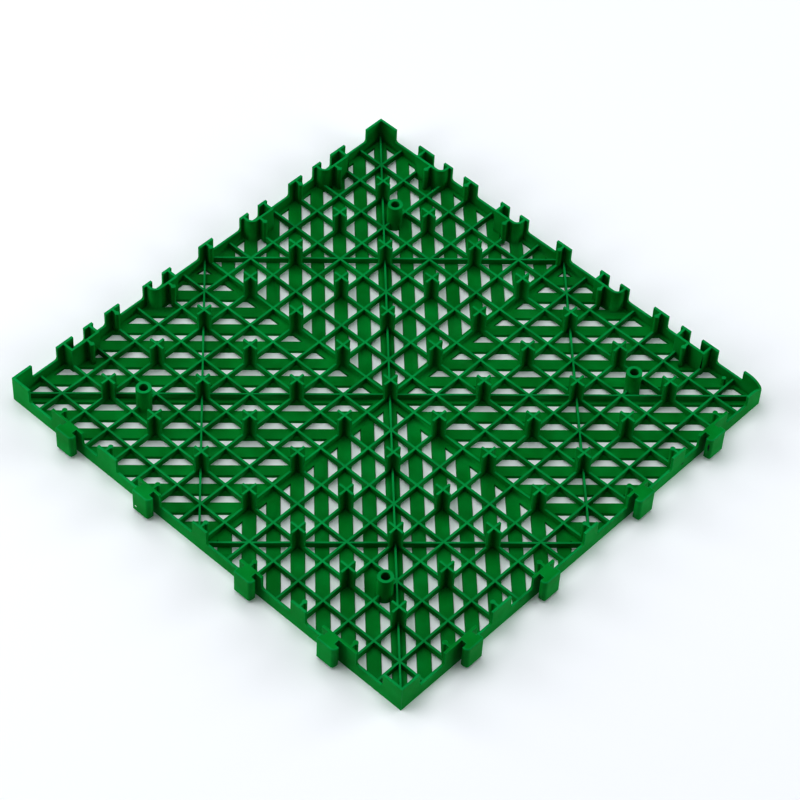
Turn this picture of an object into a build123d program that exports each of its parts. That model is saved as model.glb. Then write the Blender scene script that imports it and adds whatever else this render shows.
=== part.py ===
from build123d import *
from math import sqrt
import os

# Interlocking floor grating tile, moulded in one piece, lying tread face down with its feet up.
# The origin is the centre of the tread face, +Z points to the feet, and the rim runs along X and Y.
# All sizes are in millimetres. Edge stations are measured from the middle of an edge.

# Whole tile
TILE = 300.0               # across the outer faces of the rim
HEIGHT = 18.0              # tread face to foot tips
CELLS = 16                 # grid cells along one edge
RIM_WALL = 1.6
RIM_HEIGHT = 8.2

# Tread slats, ribs and braces
SLAT_WIDTH = 8.0           # on the tread face
SLAT_THICK = 1.5
SLAT_DRAFT = 0.45          # each side of a slat narrows by this towards the ribs
TREAD_BORDER = 2.0         # solid strip of the tread between the rim and the ends of the slots
RIB_WALL = 1.4
RIB_TOP = 5.5              # height of the rib tops over the tread face
BRACE_WALL = 1.2

# Feet at every second crossing
FOOT_SPAN = 10.6
FOOT_STEP = 2              # cells from one foot to the next

# Pins on the inner side of the rim
PIN_RADIUS = 1.4
PIN_SIDES = 8
PIN_INSET = 5.2            # outer face of the rim to the middle of a pin

# Screw bosses
BOSS_RADIUS = 4.6
BOSS_BORE_RADIUS = 2.6
BOSS_CELL_X = 5.0          # boss place in cells from the middle of the tile
BOSS_CELL_Y = 5.5

# Tabs and corner posts of the rim
TAB_WIDTH = 11.0
WIDE_TAB_EXTRA = 4.0       # one tab of each hooked edge is longer towards the middle
TAB_STEP = 4               # cells between plain tabs
POST_LEG = 13.8

# The scooped corner between the hooked edge and the socketed edge
SCOOP_EAR_TOP = 16.0
SCOOP_HUMP_TOP = 15.0
SCOOP_CORNER_TOP = 10.5
SCOOP_FLAT = 3.4           # level stretch of an ear before its top curves down
SCOOP_CORNER_RADIUS = 2.0  # the blunt outer corner, seen from above
STUD_CELL_X = 6.8          # low stud beside that corner, in cells from the middle of the tile
STUD_INSET = 5.8           # outer face of the rim to the middle of the stud
STUD_TOP = 7.0

# Hooks and the sockets that take them
OUTER_LINE = 6             # grid line beside the outer hooks
OUTER_OFFSET = 11.2        # outer hook to that line, towards the middle
INNER_LINE = 2             # grid line beside the inner hooks
INNER_OFFSET = 1.9         # inner hook to that line, towards the corner
STEM_WIDTH = 7.8
STEM_DEPTH = 3.0           # height of the stem below the foot tips
STEM_CLEARANCE = 0.4
LIP_GAP = 3.3              # rim to lip
LIP_WALL = 3.9
LIP_BACK = 5.5             # hook middle to the square end of the lip
LIP_FRONT = 7.2            # hook middle to the round end of the lip
LIP_END_RADIUS = 2.4       # upright outer edge of the round end
LIP_TIP_CUT = 1.0          # lower corner of the round end
HOOK_NEAR = 8.4            # hook middle to the end of its tab, towards the middle of the edge
HOOK_FAR = 16.5            # the same towards the corner, on the outer hooks
SOCKET_PLATE_NEAR = 11.0   # socket middle to the end of its plate, towards the middle of the edge
SOCKET_PLATE_FAR = 16.5    # the same towards the corner, on the outer sockets
SOCKET_WEB = 8.4           # socket middle to a web
SOCKET_DEPTH = 5.8         # inside of the plates to the inner wall
SOCKET_WALL = 1.5
SOCKET_CORNER_RADIUS = 3.0

# Worked out from the above
HALF = TILE / 2
INNER_HALF = HALF - RIM_WALL
PITCH = (TILE - RIM_WALL) / CELLS
LAST_LINE = CELLS // 2 - 1
OUTER_STATION = OUTER_LINE * PITCH - OUTER_OFFSET
INNER_STATION = INNER_LINE * PITCH + INNER_OFFSET
STATIONS = (-OUTER_STATION, -INNER_STATION, INNER_STATION, OUTER_STATION)
SLOT_WIDTH = STEM_WIDTH + 2 * STEM_CLEARANCE
TAB_STATION = TAB_STEP * PITCH
LIP_BOTTOM = SLAT_THICK + STEM_CLEARANCE
ACROSS_DIAGONAL = Plane(origin=(0, 0, 0), x_dir=(0, 0, 1), z_dir=(1, 1, 0))

LEVEL = (Align.CENTER, Align.MIN)


def block(x_range, y_range, z_range):
    """A box given by its lowest and highest corner along each axis."""
    size = [high - low for low, high in (x_range, y_range, z_range)]
    low = [span[0] for span in (x_range, y_range, z_range)]
    return Pos(*low) * Box(*size, align=(Align.MIN, Align.MIN, Align.MIN))


def tread():
    """Flat plate with a solid border, whose diagonal slots leave slats that point at the middle."""
    low = (PITCH / sqrt(2) - SLAT_WIDTH) / 2
    high = low + SLAT_DRAFT
    section = Polyline((-low, 0), (low, 0), (high, SLAT_THICK), (-high, SLAT_THICK), close=True)
    slot = extrude(Plane.XZ * make_face(section), TILE, both=True)
    offsets = [(line + 0.5) * PITCH for line in range(-CELLS // 2, CELLS // 2)]
    slots = Part() + [Pos(offset / 2, -offset / 2) * Rot(0, 0, -45) * slot for offset in offsets]
    inside = (SLAT_WIDTH / 2, INNER_HALF - TREAD_BORDER)
    quarter = slots & block(inside, inside, (0, SLAT_THICK))
    half = quarter + mirror(quarter, about=Plane.YZ)
    return extrude(Rectangle(TILE, TILE), SLAT_THICK) - half - mirror(half, about=Plane.XZ)


def boss_places():
    """The four screw bosses, mirrored about both middle lines."""
    return [(i * BOSS_CELL_X * PITCH, j * BOSS_CELL_Y * PITCH) for i in (-1, 1) for j in (-1, 1)]


def rib_grid():
    """Square grid of ribs on the slats, with both diagonals and the lines between edge middles.

    The ribs stop at the walls of the sockets, whose pockets stay clear for the hooks.
    """
    bars = []
    for line in range(-LAST_LINE, LAST_LINE + 1):
        bars.append(Pos(0, line * PITCH) * Rectangle(2 * INNER_HALF, RIB_WALL))
        bars.append(Pos(line * PITCH, 0) * Rectangle(RIB_WALL, 2 * INNER_HALF))
    for turn in (45, -45):
        bars.append(Rot(0, 0, turn) * Rectangle(sqrt(2) * TILE, BRACE_WALL))
        for side in (-1, 1):
            shift = Pos(0, side * HALF / sqrt(2))
            bars.append(Rot(0, 0, turn) * shift * Rectangle(TILE / sqrt(2), BRACE_WALL))
    inside = Rectangle(2 * INNER_HALF, 2 * INNER_HALF)
    bores = [Pos(x, y) * Circle(BOSS_BORE_RADIUS) for x, y in boss_places()]
    pockets = [pocket_outline(s) for s in STATIONS]
    pockets += [mirror(outline, about=ACROSS_DIAGONAL) for outline in pockets]
    grid = ((Sketch() + bars) & inside) - bores - pockets
    return extrude(Pos(0, 0, SLAT_THICK) * grid, RIB_TOP - SLAT_THICK)


def feet():
    """Plus-shaped feet that continue the ribs up to the foot tips."""
    reach = (LAST_LINE // FOOT_STEP) * FOOT_STEP
    lines = [line * PITCH for line in range(-reach, reach + 1, FOOT_STEP)]
    plus = Rectangle(FOOT_SPAN, RIB_WALL) + Rectangle(RIB_WALL, FOOT_SPAN)
    foot = extrude(Pos(0, 0, SLAT_THICK) * plus, HEIGHT - SLAT_THICK)
    return [Pos(x, y) * foot for x in lines for y in lines]


def bosses():
    """Round posts with blind screw holes, open at the foot tips and closed by the tread."""
    ring = Circle(BOSS_RADIUS) - Circle(BOSS_BORE_RADIUS)
    post = extrude(Circle(BOSS_RADIUS), SLAT_THICK) + extrude(ring, HEIGHT)
    return [Pos(x, y) * post for x, y in boss_places()]


def tab(start, end):
    """Upright tab of an edge wall, drawn from the tread face to the foot tips."""
    return Pos((start + end) / 2, 0) * Rectangle(end - start, HEIGHT, align=LEVEL)


def scooped_leg(top):
    """Corner leg at the far end of an edge, whose top curves down to the corner."""
    start = HALF - POST_LEG
    bend = (start + SCOOP_FLAT, top)
    corner = (HALF, SCOOP_CORNER_TOP)
    outline = Polyline((HALF, SCOOP_CORNER_TOP), (HALF, 0), (start, 0), (start, top), bend)
    return make_face(outline + TangentArc(bend, corner, tangent=(1, 0)))


def edge_wall(tabs):
    """Elevation of one edge wall: the low rim and its tabs."""
    return Rectangle(TILE, RIM_HEIGHT, align=LEVEL) + tabs


def raise_wall(outline, outer_face):
    """Stand an elevation up along X, its outer side at the given Y."""
    inner_side = outer_face if outer_face > 0 else outer_face + RIM_WALL
    return extrude(Plane.XZ.offset(-inner_side) * outline, RIM_WALL)


def pin(x, y, wall_y, z_range=(RIB_TOP, HEIGHT)):
    """Round pin beside a wall, with the web that joins them."""
    web = Pos(x, (y + wall_y) / 2) * Rectangle(RIB_WALL, abs(wall_y - y))
    outline = Pos(x, y) * RegularPolygon(PIN_RADIUS, PIN_SIDES) + web
    return extrude(Pos(0, 0, z_range[0]) * outline, z_range[1] - z_range[0])


def plain_tabs(wide_station=None):
    """Three plain tabs on every edge; the one at the wide station is longer towards the middle."""
    tabs = []
    for station in (-TAB_STATION, 0, TAB_STATION):
        extra = WIDE_TAB_EXTRA if station == wide_station else 0
        tabs.append(tab(*spans(station, TAB_WIDTH / 2 + extra, TAB_WIDTH / 2)))
    return tabs


def spans(station, near, far):
    """Start and end of a feature about a station, near towards the middle of the edge."""
    outward = 1 if station > 0 else -1
    return sorted((station - outward * near, station + outward * far))


def far_reach(station, far, near):
    """Outer stations reach far towards the corner, inner ones only as far as near."""
    return far if abs(station) == OUTER_STATION else near


def hook_tabs():
    """Tabs of the hooked edge that carry the hooks."""
    return [tab(*spans(s, HOOK_NEAR, far_reach(s, HOOK_FAR, HOOK_NEAR))) for s in STATIONS]


def hook(station):
    """Stem flush with the foot tips, and the lip that hangs from it outside the rim."""
    lip_inside = -HALF - LIP_GAP
    stem_x = (station - STEM_WIDTH / 2, station + STEM_WIDTH / 2)
    stem = block(stem_x, (lip_inside, -HALF), (HEIGHT - STEM_DEPTH, HEIGHT))
    back = station - LIP_BACK
    front = station + LIP_FRONT
    cut = ((front - LIP_TIP_CUT, LIP_BOTTOM), (front, LIP_BOTTOM + LIP_TIP_CUT))
    outline = make_face(Polyline((back, HEIGHT), (back, LIP_BOTTOM), *cut, (front, HEIGHT), close=True))
    lip = extrude(Plane.XZ.offset(-lip_inside) * outline, LIP_WALL)
    upright = lip.edges().filter_by(Axis.Z).group_by(Axis.X)[-1].sort_by(Axis.Y)[0]
    return stem + fillet(upright, LIP_END_RADIUS)


def socket_plates():
    """Outer plates of the sockets: a tab each side of the slot that takes a stem."""
    plates = []
    for s in STATIONS:
        start, end = spans(s, SOCKET_PLATE_NEAR, far_reach(s, SOCKET_PLATE_FAR, SOCKET_PLATE_NEAR))
        plates += [tab(start, s - SLOT_WIDTH / 2), tab(s + SLOT_WIDTH / 2, end)]
    return plates


def pocket_span(station):
    """Middles of the two webs beside a socket; an outer socket reaches to its grid line."""
    line = OUTER_LINE * PITCH - OUTER_STATION
    return spans(station, SOCKET_WEB, far_reach(station, line, SOCKET_WEB))


def rounded_box(start, end, back, radius):
    """Outline from a back line out to the middle of the rim wall, with one round back corner."""
    depth = HALF - RIM_WALL / 2 - back
    box = Pos((start + end) / 2, back) * Rectangle(end - start, depth, align=LEVEL)
    corner = box.vertices().sort_by(Axis.Y)[:2].sort_by(Axis.X)[-1]
    return fillet(corner, radius) if radius else box


def pocket_outline(station, wall=0.0):
    """Inside of a socket, or its outside when a wall is added; the last socket has square corners."""
    start, end = pocket_span(station)
    inset = SOCKET_WALL / 2 - wall
    radius = SOCKET_CORNER_RADIUS + wall if station < OUTER_STATION else 0
    return rounded_box(start + inset, end - inset, INNER_HALF - SOCKET_DEPTH - wall, radius)


def socket_pocket(station):
    """Inner wall of a socket with the webs that join it to the plates, around one closed pocket."""
    outside = pocket_outline(station, SOCKET_WALL)
    walls = outside - pocket_outline(station)
    return extrude(outside, SLAT_THICK) + extrude(walls, HEIGHT)


def hooked_edge(near_leg, wide_station):
    """The edge along -Y with its hooks; near_leg is the corner leg at its -X end."""
    legs = [near_leg, tab(HALF - POST_LEG, HALF)]
    wall = raise_wall(edge_wall(legs + hook_tabs() + plain_tabs(wide_station)), -HALF)
    pin_lines = range(-OUTER_LINE, OUTER_LINE + 1, FOOT_STEP)
    pins = [pin(line * PITCH, -HALF + PIN_INSET, -INNER_HALF) for line in pin_lines]
    return [wall] + pins + [hook(s) for s in STATIONS]


def socketed_edge(far_leg):
    """The edge along +Y with its sockets; far_leg is the corner leg at its +X end."""
    legs = [tab(-HALF, -HALF + POST_LEG), far_leg]
    wall = raise_wall(edge_wall(legs + socket_plates() + plain_tabs()), HALF)
    tab_pins = [pin(s, HALF - PIN_INSET, INNER_HALF) for s in (-TAB_STATION, 0, TAB_STATION)]
    back = INNER_HALF - SOCKET_DEPTH - SOCKET_WALL
    full = (SLAT_THICK, HEIGHT)
    inner_line = INNER_LINE * PITCH
    pin_places = (-OUTER_STATION, -inner_line, inner_line, OUTER_STATION)
    socket_pins = [pin(x, back - PIN_INSET + RIM_WALL, back, full) for x in pin_places]
    return [wall] + tab_pins + socket_pins + [socket_pocket(s) for s in STATIONS]


def stud():
    """Low round stud on the slats beside the scooped corner."""
    outline = Pos(STUD_CELL_X * PITCH, HALF - STUD_INSET) * RegularPolygon(PIN_RADIUS, PIN_SIDES)
    return extrude(Pos(0, 0, SLAT_THICK) * outline, STUD_TOP - SLAT_THICK)


def blunt_corner():
    """What the round outer edge of the scooped corner takes off a square one."""
    centre = HALF - SCOOP_CORNER_RADIUS
    square = Rectangle(SCOOP_CORNER_RADIUS, SCOOP_CORNER_RADIUS, align=(Align.MIN, Align.MIN))
    return extrude(Pos(centre, centre) * (square - Circle(SCOOP_CORNER_RADIUS)), HEIGHT)


def floor_grating():
    """The whole tile as one solid."""
    ear = scooped_leg(SCOOP_EAR_TOP)
    hump = mirror(scooped_leg(SCOOP_HUMP_TOP), about=Plane.YZ)
    front = hooked_edge(tab(-HALF, -HALF + POST_LEG), -TAB_STATION)
    right = [mirror(piece, about=ACROSS_DIAGONAL) for piece in hooked_edge(hump, TAB_STATION)]
    back = socketed_edge(ear)
    left = [mirror(piece, about=ACROSS_DIAGONAL) for piece in socketed_edge(tab(HALF - POST_LEG, HALF))]
    pieces = [rib_grid(), stud()] + feet() + bosses() + front + right + back + left
    return tread() + pieces - blunt_corner()


os.makedirs("parts", exist_ok=True)
export_step(floor_grating(), "parts/floor_grating.step")
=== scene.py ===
# %% [markdown]
# # A moulded floor grating tile
# The real thing is one shot of green polypropylene: diagonal slats on the tread side, a square grid of
# ribs over them, plus-shaped feet, hooks on two edges and sockets on the other two. It lies with its feet
# in the air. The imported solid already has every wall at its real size, so this lesson keeps that shape
# and adds what a mould and some handling leave on it: rounded edges, fillets, round pins, grain and
# scuffs. Then it sets the light.

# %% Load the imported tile
import math

import bmesh
import bpy
import numpy as np
from mathutils import Matrix, Vector


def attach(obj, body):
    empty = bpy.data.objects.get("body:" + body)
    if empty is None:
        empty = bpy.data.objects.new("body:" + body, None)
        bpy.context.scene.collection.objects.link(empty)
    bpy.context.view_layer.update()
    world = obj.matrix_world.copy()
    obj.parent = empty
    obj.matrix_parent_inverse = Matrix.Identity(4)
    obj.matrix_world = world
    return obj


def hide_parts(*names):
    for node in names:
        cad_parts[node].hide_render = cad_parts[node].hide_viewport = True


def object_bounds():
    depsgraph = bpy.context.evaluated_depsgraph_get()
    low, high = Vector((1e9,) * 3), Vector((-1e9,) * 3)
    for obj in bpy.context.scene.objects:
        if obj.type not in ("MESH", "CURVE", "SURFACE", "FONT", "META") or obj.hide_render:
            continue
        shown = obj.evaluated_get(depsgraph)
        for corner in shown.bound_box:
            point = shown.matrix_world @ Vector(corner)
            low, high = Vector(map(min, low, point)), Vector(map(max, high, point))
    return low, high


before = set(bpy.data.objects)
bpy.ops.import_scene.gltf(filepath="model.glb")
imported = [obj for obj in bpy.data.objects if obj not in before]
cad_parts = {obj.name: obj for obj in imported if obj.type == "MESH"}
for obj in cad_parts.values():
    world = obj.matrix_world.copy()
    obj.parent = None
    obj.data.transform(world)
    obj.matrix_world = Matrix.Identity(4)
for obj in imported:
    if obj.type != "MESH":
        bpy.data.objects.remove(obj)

MM = 0.001
cad_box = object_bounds()
print("tile box in mm:", [[round(v / MM, 2) for v in corner] for corner in cad_box])

# %% [markdown]
# ## The camera
# The photo looks down over the front corner through a long lens, with a slight lean to one side. A camera
# could be placed by eye, but here its place, the point it looks at, its lens and its lean come from
# lining up the tile's grid crossings with the picture, so that every rib falls where it should.

# %% Camera at the photo's angle
CAMERA_PLACE = Vector((680.6, -787.86, 1207.45)) * MM
CAMERA_AIM = Vector((9.03, -1.44, 9.0)) * MM
CAMERA_LENS = 126.4
CAMERA_LEAN = math.radians(3.66)
CAMERA_NEAR = 0.01

camera = bpy.data.objects.new("photo_camera", bpy.data.cameras.new("photo_camera"))
bpy.context.collection.objects.link(camera)
camera.data.lens = CAMERA_LENS
camera.data.clip_start = CAMERA_NEAR
facing = (CAMERA_AIM - CAMERA_PLACE).to_track_quat("-Z", "Y").to_matrix()
leaning = facing @ Matrix.Rotation(CAMERA_LEAN, 3, "Z")
camera.matrix_world = Matrix.Translation(CAMERA_PLACE) @ leaning.to_4x4()
bpy.context.scene.camera = camera
print("camera to tile:", round((CAMERA_AIM - CAMERA_PLACE).length, 3), "m")

# %% [markdown]
# ## The moulded body
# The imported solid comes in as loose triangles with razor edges. Real moulded edges have a small radius,
# because the cutter that makes the steel mould is round. One could model each radius, but a Bevel
# modifier does it for all of them if it knows which edges to round. So a copy of the solid is merged, its
# level triangles are joined into whole faces, and each edge then gets a weight.

# %% Copy the solid and join its level faces
MERGE_DISTANCE = 0.002 * MM
LEVEL_ANGLE = math.radians(0.5)


def merged_copy(node_name, piece_name):
    """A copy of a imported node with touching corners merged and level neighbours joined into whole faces."""
    mesh = bpy.data.objects[node_name].data.copy()
    mesh.name = piece_name
    shape = bmesh.new()
    shape.from_mesh(mesh)
    bmesh.ops.remove_doubles(shape, verts=shape.verts, dist=MERGE_DISTANCE)
    bmesh.ops.dissolve_limit(shape, angle_limit=LEVEL_ANGLE, verts=shape.verts, edges=shape.edges)
    shape.to_mesh(mesh)
    shape.free()
    piece = bpy.data.objects.new(piece_name, mesh)
    bpy.context.collection.objects.link(piece)
    return piece


tile = merged_copy("floor_grating", "moulded_tile")
print("moulded tile:", len(tile.data.vertices), "corners,", len(tile.data.polygons), "faces")

# %% [markdown]
# ## How sharply each edge turns
# Blender can find sharp edges by angle, but not whether an edge stands out, as on top of a rib, or lies
# in a corner. Reading the mesh as whole arrays answers both: two face normals give the angle, and the
# direction from the edge into the second face says on which side of the first face it lies.

# %% Measure the edges
CLEAR_TURN = 50


def whole_array(items, name, width, kind=float):
    """One property of all items as an array with the given number of columns."""
    flat = np.empty(len(items) * width, kind)
    items.foreach_get(name, flat)
    return flat.reshape(-1, width)


def edge_facts(mesh):
    """Ends of every edge in mm, the turn between its two faces in degrees and the way into each face.

    The turn is the angle between the normals, positive where the edge stands out. The way into a face is its
    normal crossed with the edge's direction, as that face runs along the edge.
    """
    points = whole_array(mesh.vertices, "co", 3) / MM
    ends = whole_array(mesh.edges, "vertices", 2, np.int32)
    normals = whole_array(mesh.polygons, "normal", 3)
    counts = whole_array(mesh.polygons, "loop_total", 1, np.int32)[:, 0]
    loop_face = np.repeat(np.arange(len(counts)), counts)
    loop_start = whole_array(mesh.loops, "vertex_index", 1, np.int32)[:, 0]
    by_edge = np.argsort(whole_array(mesh.loops, "edge_index", 1, np.int32)[:, 0], kind="stable")
    one, two = by_edge[0::2], by_edge[1::2]
    start = loop_start[one]
    along = points[ends.sum(1) - start] - points[start]
    along /= np.linalg.norm(along, axis=1)[:, None]
    normal_one, normal_two = normals[loop_face[one]], normals[loop_face[two]]
    into_one, into_two = np.cross(normal_one, along), np.cross(normal_two, -along)
    angle = np.degrees(np.arccos(np.clip((normal_one * normal_two).sum(1), -1, 1)))
    turn = -angle * np.sign((normal_one * into_two).sum(1))
    return points[ends], turn, (normal_one, normal_two), (into_one, into_two)


ends, turn, face_normals, ways_in = edge_facts(tile.data)
middles = ends.mean(1)
lengths = np.linalg.norm(ends[:, 1] - ends[:, 0], axis=1)
stands_out = turn > CLEAR_TURN
in_corner = turn < -CLEAR_TURN
print("edges that stand out:", int(stands_out.sum()), "and that lie in corners:", int(in_corner.sum()))

# %% [markdown]
# ## Rounded edges
# Ribs, feet and tabs have a radius of about a fifth of a millimetre. The hook lips are thicker and are
# handled most, so their top and upright edges are rounded much more: the photo shows a broad light band
# there. One Bevel modifier for each radius would do, but bevel weights hold both in one, where a weight
# of 1 is the lip's radius. Edges of the thin slats stay crisp.

# %% Choose the edges to round
EDGE_RADIUS = 0.22
LIP_RADIUS = 0.75
SLAT_TOP = 1.5
SLAT_CLEARANCE = 0.1
ABOVE_SLATS = SLAT_TOP + SLAT_CLEARANCE
HEIGHT_TOLERANCE = 0.01
FOOT_TIPS = cad_box[1][2] / MM
TILE_HALF = -cad_box[0][0] / MM
LIP_GAP = 3.5
LIP_START = TILE_HALF + LIP_GAP
MOSTLY = 0.9  # share of a direction's length that counts as pointing along an axis

beyond_rim = np.maximum(-middles[:, 1], middles[:, 0])
is_upright = np.abs(ends[:, 1, 2] - ends[:, 0, 2]) > MOSTLY * lengths
at_tips = middles[:, 2] > FOOT_TIPS - HEIGHT_TOLERANCE
on_lip = stands_out & (beyond_rim > LIP_START) & (is_upright | at_tips)
weights = np.where(stands_out & (middles[:, 2] > ABOVE_SLATS), EDGE_RADIUS / LIP_RADIUS, 0)
weights[on_lip] = 1
print("rounded edges:", int((weights > 0).sum()), "of which on the lips:", int(on_lip.sum()))

# %% Round them
SHARP_ANGLE = math.radians(30)
ROUNDING_STEPS = 3
PAINTED_HIGHLIGHT_SLOT = 1

tile.data.shade_smooth()
tile.data.set_sharp_from_angle(angle=SHARP_ANGLE)
weight_layer = tile.data.attributes.new("bevel_weight_edge", "FLOAT", "EDGE")
weight_layer.data.foreach_set("value", weights.astype(np.float32))
rounding = tile.modifiers.new("mould radius", "BEVEL")
rounding.limit_method = "WEIGHT"
rounding.width = LIP_RADIUS * MM
rounding.segments = ROUNDING_STEPS
rounding.use_clamp_overlap = False
rounding.harden_normals = True
# The rounded edges get the lighter plastic: a painted highlight along every rounded edge.
rounding.material = PAINTED_HIGHLIGHT_SLOT
print("largest radius:", LIP_RADIUS, "mm in", ROUNDING_STEPS, "steps")

# %% [markdown]
# ## Round pins
# Small pins stand along the inner side of the rim and behind the sockets. Their holes in the mould are
# drilled, so the pins are truly round, and the photo shows a light ring around each tip. The imported solid
# keeps them eight-sided to stay light. One could cut them out and model new ones, but a thin sleeve
# turned about each axis makes it round, and a short collar around the tip, in the lighter plastic, paints
# that light ring as a highlight. One lathe function turns a profile about all axes at once.

# %% Lathe for many centres
def new_piece(name, points, faces):
    """An object at the origin from points in mm and faces, its normals turned outwards."""
    mesh = bpy.data.meshes.new(name)
    mesh.from_pydata((points * MM).tolist(), [], faces)
    shape = bmesh.new()
    shape.from_mesh(mesh)
    bmesh.ops.recalc_face_normals(shape, faces=shape.faces)
    shape.to_mesh(mesh)
    shape.free()
    piece = bpy.data.objects.new(name, mesh)
    bpy.context.collection.objects.link(piece)
    return piece


def turned_columns(name, centres, radii, heights, sides):
    """A profile turned about an upright axis at every centre.

    A point is the centre plus radius times (cosine, sine) of the angle, at the profile's height. Both ends
    of the profile are closed by a flat face.
    """
    angles = np.arange(sides) * 2 * np.pi / sides
    circle = np.stack([np.cos(angles), np.sin(angles), np.zeros(sides)], axis=1)
    rows = np.asarray(radii)[:, None, None] * circle + np.asarray(heights)[:, None, None] * (0, 0, 1)
    points = np.asarray(centres)[:, None, None, :] + rows
    index = np.arange(points[..., 0].size).reshape(points.shape[:3])
    around = np.roll(index, -1, axis=2)
    walls = np.stack([index[:, :-1], around[:, :-1], around[:, 1:], index[:, 1:]], axis=-1)
    lids = np.concatenate([index[:, 0, ::-1], index[:, -1]])
    return new_piece(name, points.reshape(-1, 3), walls.reshape(-1, 4).tolist() + lids.tolist())


# %% Places of the pins
RIM_WALL = 1.6
CELLS = 16
PITCH = (2 * TILE_HALF - RIM_WALL) / CELLS
RIM_PIN_INSET = 5.2
SOCKET_PIN_INSET = 12.5
OUTER_SHIFT = 11.2
# Rim pins stand on every second rib line along a hooked edge and on every fourth along a socketed one.
HOOK_SIDE_PINS = np.arange(-6, 7, 2) * PITCH
SOCKET_SIDE_PINS = np.array((-4, 0, 4)) * PITCH
INNER_SOCKET = 2 * PITCH
OUTER_SOCKET = 6 * PITCH - OUTER_SHIFT


def on_edge(stations, y):
    """Points at the given places along an edge that runs at one y."""
    return np.stack([stations, np.full(len(stations), y), np.zeros(len(stations))], axis=1)


def with_neighbour_edge(places):
    """The places and their mirror images across the diagonal, where x turns into minus y."""
    return np.concatenate([places, places[:, [1, 0, 2]] * (-1, -1, 1)])


hook_side = on_edge(HOOK_SIDE_PINS, RIM_PIN_INSET - TILE_HALF)
socket_side = on_edge(SOCKET_SIDE_PINS, TILE_HALF - RIM_PIN_INSET)
socket_stations = np.array((-OUTER_SOCKET, -INNER_SOCKET, INNER_SOCKET, OUTER_SOCKET))
rim_pins = with_neighbour_edge(np.concatenate([hook_side, socket_side]))
socket_pins = with_neighbour_edge(on_edge(socket_stations, TILE_HALF - SOCKET_PIN_INSET))
print("pins at the rim:", len(rim_pins), "and behind the sockets:", len(socket_pins))

# %% Sleeves and rings for the pins
RIB_TOP = 5.5
PIN_RADIUS = 1.42
PIN_ROUND = 0.15
PIN_SIDES = 20
PIN_DROP = 0.04
PIN_TOP = FOOT_TIPS - PIN_DROP
RING_RADIUS = 1.5
RING_DEPTH = 0.5


def turned_pins(name, centres, start):
    """Straight sleeves from a start height to just below the foot tips."""
    radii = (PIN_RADIUS, PIN_RADIUS, PIN_RADIUS - PIN_ROUND)
    return turned_columns(name, centres, radii, (start, PIN_TOP - PIN_ROUND, PIN_TOP), PIN_SIDES)


rim_sleeves = turned_pins("rim_pin_sleeves", rim_pins, RIB_TOP)
socket_sleeves = turned_pins("socket_pin_sleeves", socket_pins, SLAT_TOP)
ring_radii = (RING_RADIUS - PIN_ROUND, RING_RADIUS, RING_RADIUS, RING_RADIUS - PIN_ROUND)
ring_heights = PIN_TOP - np.array((RING_DEPTH, RING_DEPTH - PIN_ROUND, PIN_ROUND, 0))
all_pins = np.concatenate([rim_pins, socket_pins])
rings = turned_columns("pin_rings", all_pins, ring_radii, ring_heights, PIN_SIDES)
print("faces on sleeves:", len(rim_sleeves.data.polygons) + len(socket_sleeves.data.polygons),
      "and on rings:", len(rings.data.polygons))

# %% [markdown]
# ## Fillets at the roots of the tabs
# Where a tab rises from the low rim, the mould has a small hollow radius so that the tab doesn't crack
# off. They could be placed by hand, tab by tab, but the edge facts already say where they are: short
# edges at rim height that lie in a corner. So a hollow quarter circle is carried along each of them, from
# one side of the wall to the other.

# %% Carry a hollow profile along the root edges
RIM_HEIGHT = 8.2
ROOT_RADIUS = 1.2
ROOT_SINK = 0.15
ROOT_STEPS = 6
LENGTH_TOLERANCE = 0.02

at_rim_height = np.abs(ends[:, :, 2] - RIM_HEIGHT).max(1) < HEIGHT_TOLERANCE
is_root = in_corner & at_rim_height & (np.abs(lengths - RIM_WALL) < LENGTH_TOLERANCE)
rim_is_one = face_normals[0][is_root, 2] > MOSTLY
away = np.where(rim_is_one[:, None], ways_in[0][is_root], ways_in[1][is_root])


def hollow_fillets(name, edge_ends, away, radius, sink, steps):
    """A hollow quarter circle between a wall and the rim, carried along each edge.

    At angle a the profile stands radius * (1 - cos a) away from the wall and radius * (1 - sin a) over the
    rim. Its corner is sunk into both, so that no gap shows.
    """
    angle = np.linspace(0, np.pi / 2, steps)
    out = np.concatenate([[-sink, -sink], radius * (1 - np.cos(angle)), [radius]])
    rise = np.concatenate([[-sink, radius], radius * (1 - np.sin(angle)), [-sink]])
    profile = out[:, None] * away[:, None, None, :] + rise[:, None] * np.array((0.0, 0.0, 1.0))
    points = edge_ends[:, :, None, :] + profile
    index = np.arange(points[..., 0].size).reshape(points.shape[:3])
    near, far = index[:, 0], index[:, 1]
    strips = np.stack([near, np.roll(near, -1, 1), np.roll(far, -1, 1), far], axis=-1).reshape(-1, 4)
    return new_piece(name, points.reshape(-1, 3), strips.tolist() + near.tolist() + far.tolist())


fillets = hollow_fillets("tab_root_fillets", ends[is_root], away, ROOT_RADIUS, ROOT_SINK, ROOT_STEPS)
print("root fillets:", int(is_root.sum()))

# %% [markdown]
# ## Green polypropylene
# The plastic is coloured right through, so there is no paint to chip: it shows slow clouds where the
# colour mixed unevenly, a fine grain from the mould and a satin gloss that varies a little. A lighter
# copy of it paints highlights on edges and tops. A single colour would look like a drawing. Noise on
# Object coordinates gives the clouds and the grain their real size in metres. A few short helpers keep
# the node trees readable.

# %% Helpers for shader nodes
def add_node(tree, kind, settings=None, **inputs):
    """A shader node with its settings and inputs; an input is a value or another node's socket.

    An input called _0 is the first socket by number, and an underscore in a name stands for a space.
    """
    node = tree.nodes.new(kind)
    for name, value in (settings or {}).items():
        setattr(node, name, value)
    for name, value in inputs.items():
        socket = node.inputs[int(name[1:]) if name[0] == "_" else name.replace("_", " ")]
        if isinstance(value, bpy.types.NodeSocket):
            tree.links.new(value, socket)
        else:
            socket.default_value = value
    return node


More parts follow.
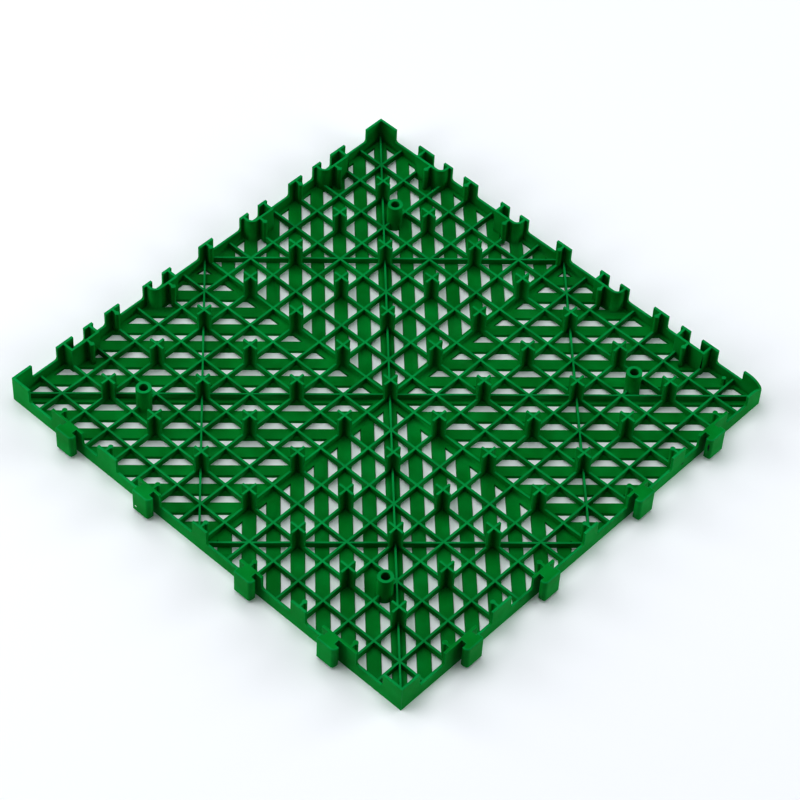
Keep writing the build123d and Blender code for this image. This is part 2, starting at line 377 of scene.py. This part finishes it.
def noise(tree, place, waves, detail):
    """Noise with the given number of waves in a metre and levels of finer waves."""
    return add_node(tree, "ShaderNodeTexNoise", Vector=place, Scale=waves, Detail=detail).outputs["Fac"]


def remap(tree, value, from_range, to_range):
    """Stretch a range of values to another one, held at both ends."""
    node = add_node(tree, "ShaderNodeMapRange", Value=value, From_Min=from_range[0], From_Max=from_range[1],
                    To_Min=to_range[0], To_Max=to_range[1])
    return node.outputs["Result"]


def blend(tree, factor, first, second):
    """Mix two colours by a factor."""
    node = add_node(tree, "ShaderNodeMix", {"data_type": "RGBA"}, _0=factor, _6=first, _7=second)
    return node.outputs[2]


# %% [markdown]
# ## Marks left by handling
# The photo shows three small marks on the outer faces: a white nick where the plastic was stressed, a
# dark scuff and a dark streak. An image could be painted for them, but a mark is only a small ellipsoid
# in space: wherever the surface passes through it, the colour changes, and some noise makes its border
# ragged.

# %% Where the marks are
NICK_COLOUR = (0.75, 0.78, 0.74, 1)
SCUFF_COLOUR = (0.012, 0.02, 0.018, 1)
# Each mark has a centre and half sizes in mm, and a colour.
DARK_SCUFF = ((150.0, 79.0, 5.5), (1.0, 1.3, 0.5), SCUFF_COLOUR)
LIP_STREAK = ((156.6, 93.6, 12.0), (1.5, 0.35, 4.0), SCUFF_COLOUR)
WHITE_NICK = ((-42.1, -157.2, 5.5), (0.7, 0.5, 0.6), NICK_COLOUR)
MARKS = (DARK_SCUFF, LIP_STREAK, WHITE_NICK)
MARK_BORDER = (1.25, 1.6)


def spot(tree, place, centre, half_sizes, wobble):
    """1 inside a small ellipsoid about a centre in mm, 0 outside, with an uneven border.

    The distance from the centre is taken with each axis divided by its half size, and the wobble is added.
    As that sum crosses the border, the result fades from 1 to 0.
    """
    shifted = add_node(tree, "ShaderNodeVectorMath", {"operation": "SUBTRACT"}, _0=place,
                       _1=[c * MM for c in centre]).outputs[0]
    scaled = add_node(tree, "ShaderNodeVectorMath", {"operation": "DIVIDE"}, _0=shifted,
                      _1=[s * MM for s in half_sizes]).outputs[0]
    reach = add_node(tree, "ShaderNodeVectorMath", {"operation": "LENGTH"}, _0=scaled).outputs["Value"]
    uneven = add_node(tree, "ShaderNodeMath", {"operation": "ADD"}, _0=reach, _1=wobble).outputs[0]
    return remap(tree, uneven, MARK_BORDER, (1.0, 0.0))


print("marks:", len(MARKS))

# %% Make the plastic
DEEP_GREEN = (0.0, 0.200, 0.029, 1)
CLEAR_GREEN = (0.0, 0.260, 0.047, 1)
SATIN = (0.36, 0.5)
# These lighter greens are painted highlight: edges and upward faces drawn as if lit by the overhead light.
PAINTED_HIGHLIGHT_DEEP = (0.003, 0.240, 0.062, 1)
PAINTED_HIGHLIGHT_CLEAR = (0.005, 0.305, 0.085, 1)
PAINTED_HIGHLIGHT_SATIN = (0.28, 0.4)
CLOUDS = (55.0, 4.0)  # waves in a metre and levels of finer waves, here and for the next three
GRAIN = (2200.0, 3.0)
RAGGED = (900.0, 2.0)
GLOSS_PATCHES = (160.0, 5.0)
CLOUD_RANGE = (0.35, 0.65)
GLOSS_RANGE = (0.3, 0.7)
MIRROR_LEVEL = 0.05
GRAIN_STRENGTH = 0.25
GRAIN_DEPTH = 0.04 * MM


def moulded_plastic(name, deep, clear, roughness):
    """Cloudy green plastic with mould grain, uneven gloss and the marks of handling."""
    material = bpy.data.materials.new(name)
    material.use_nodes = True
    tree = material.node_tree
    shader = tree.nodes["Principled BSDF"]
    place = add_node(tree, "ShaderNodeTexCoord").outputs["Object"]
    clouds = noise(tree, place, *CLOUDS)
    grain = noise(tree, place, *GRAIN)
    colour = blend(tree, remap(tree, clouds, CLOUD_RANGE, (0.0, 1.0)), deep, clear)
    wobble = noise(tree, place, *RAGGED)
    for centre, half_sizes, mark_colour in MARKS:
        colour = blend(tree, spot(tree, place, centre, half_sizes, wobble), colour, mark_colour)
    tree.links.new(colour, shader.inputs["Base Color"])
    gloss = remap(tree, noise(tree, place, *GLOSS_PATCHES), GLOSS_RANGE, roughness)
    tree.links.new(gloss, shader.inputs["Roughness"])
    shader.inputs["Specular IOR Level"].default_value = MIRROR_LEVEL
    bump = add_node(tree, "ShaderNodeBump", Strength=GRAIN_STRENGTH, Distance=GRAIN_DEPTH, Height=grain)
    tree.links.new(bump.outputs["Normal"], shader.inputs["Normal"])
    return material


green_plastic = moulded_plastic("green_plastic", DEEP_GREEN, CLEAR_GREEN, SATIN)
painted_highlight_plastic = moulded_plastic("painted_highlight_green_plastic", PAINTED_HIGHLIGHT_DEEP, PAINTED_HIGHLIGHT_CLEAR, PAINTED_HIGHLIGHT_SATIN)
print("plastics:", green_plastic.name, painted_highlight_plastic.name)

# %% [markdown]
# ## Dressing the tile
# The tops of the ribs and feet and the rounded edges look a little lighter than the walls and slats,
# because they face the light. That light is painted in with the second, lighter plastic. The Bevel modifier
# already gives it, as a painted highlight, to the edges that it rounds. Faces that look up, stand above the
# slats and lie within the rim get it too, as painted light on the tops. A mask in the material could do the
# same, but picking whole faces is simpler.

# %% Give each face its plastic
tile.data.materials.clear()
for material in (green_plastic, painted_highlight_plastic):
    tile.data.materials.append(material)
faces_up = whole_array(tile.data.polygons, "normal", 3)[:, 2] > MOSTLY
face_middles = whole_array(tile.data.polygons, "center", 3) / MM
within_rim = np.abs(face_middles[:, :2]).max(1) < TILE_HALF
# Upward faces above the slats get the lighter plastic: painted light on the tops.
painted_lit_tops = faces_up & within_rim & (face_middles[:, 2] > ABOVE_SLATS)
tile.data.polygons.foreach_set("material_index", np.where(painted_lit_tops, PAINTED_HIGHLIGHT_SLOT, 0).astype(np.int32))
for piece in (fillets, rim_sleeves, socket_sleeves):
    piece.data.materials.append(green_plastic)
# The collars get the lighter plastic: the light ring on each pin tip is a painted highlight.
rings.data.materials.append(painted_highlight_plastic)
print("lighter tops:", int(painted_lit_tops.sum()))

# %% Fix the pieces to the tile's body
pieces = (tile, rim_sleeves, socket_sleeves, rings, fillets)
for piece in pieces:
    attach(piece, "root")
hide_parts("floor_grating")
print("pieces on the tile:", [piece.name for piece in pieces])

# %% [markdown]
# ## Floor and light
# The tile lies on a white floor under one large soft light, which hangs nearly overhead and a little to
# the left. A small lamp would draw hard shadows into every slot. The upright outer walls see little of
# that light, so two wide, low panels stand at the left and right of the picture. No light comes from the
# camera's own side: that keeps the corners of the feet and of the rib crossings, which open towards the
# camera, nearly as dark as in the photo.

# %% Pale floor
FLOOR_HALF = 6.0
FLOOR_COLOUR = (0.84, 0.86, 0.88, 1)
FLOOR_ROUGHNESS = 0.9
FLOOR_MIRROR_LEVEL = 0.1

floor_mesh = bpy.data.meshes.new("pale_floor")
floor_corners = np.array([(-1, -1, 0), (1, -1, 0), (1, 1, 0), (-1, 1, 0)]) * FLOOR_HALF
floor_mesh.from_pydata(floor_corners.tolist(), [], [(0, 1, 2, 3)])
floor = bpy.data.objects.new("pale_floor", floor_mesh)
bpy.context.collection.objects.link(floor)
white_sheet = bpy.data.materials.new("white_sheet")
white_sheet.use_nodes = True
sheet_inputs = white_sheet.node_tree.nodes["Principled BSDF"].inputs
sheet_inputs["Base Color"].default_value = FLOOR_COLOUR
sheet_inputs["Roughness"].default_value = FLOOR_ROUGHNESS
sheet_inputs["Specular IOR Level"].default_value = FLOOR_MIRROR_LEVEL
floor.data.materials.append(white_sheet)
print("floor:", 2 * FLOOR_HALF, "m wide")

# %% Soft lights
LIGHT_COLOUR = (0.985, 0.985, 1.0)
OVERHEAD_PLACE = (-0.55, -0.1, 2.4)
OVERHEAD_SIZE = (2.8, 2.8)
OVERHEAD_WATTS = 42
PANEL_REACH = 1.55
PANEL_HEIGHT = 0.75
PANEL_SIZE = (2.4, 0.9)
PANEL_WATTS = 30


def soft_lamp(name, place, size, watts):
    """A rectangular area lamp of the given width and height that faces the middle of the tile."""
    lamp = bpy.data.objects.new(name, bpy.data.lights.new(name, "AREA"))
    lamp.data.shape = "RECTANGLE"
    lamp.data.size, lamp.data.size_y = size
    lamp.data.energy = watts
    lamp.data.color = LIGHT_COLOUR
    lamp.location = place
    lamp.rotation_euler = (-Vector(place)).to_track_quat("-Z", "Y").to_euler()
    bpy.context.collection.objects.link(lamp)


soft_lamp("overhead_light", OVERHEAD_PLACE, OVERHEAD_SIZE, OVERHEAD_WATTS)
for name, side in (("left_panel_light", -1), ("right_panel_light", 1)):
    soft_lamp(name, (side * PANEL_REACH, side * PANEL_REACH, PANEL_HEIGHT), PANEL_SIZE, PANEL_WATTS)
print("light in watts:", OVERHEAD_WATTS, "overhead and", PANEL_WATTS, "from each side")

# %% Dim room and picture contrast
ROOM_COLOUR = (0.9, 0.96, 1, 1)
ROOM_STRENGTH = 0.05

room = bpy.data.worlds.new("dim_room")
room.use_nodes = True
backdrop = room.node_tree.nodes["Background"]
backdrop.inputs["Color"].default_value = ROOM_COLOUR
backdrop.inputs["Strength"].default_value = ROOM_STRENGTH
bpy.context.scene.world = room
bpy.context.scene.view_settings.view_transform = "Standard"
bpy.context.scene.view_settings.look = "High Contrast"
print("picture look:", bpy.context.scene.view_settings.look)

# %% [markdown]
# ## Sizes
# Dressing the tile must not change its size. The box measured before the dressing is printed at the start;
# this last cell only counts the pieces.

# %% Count the pieces
print("pieces measured:", len(pieces))
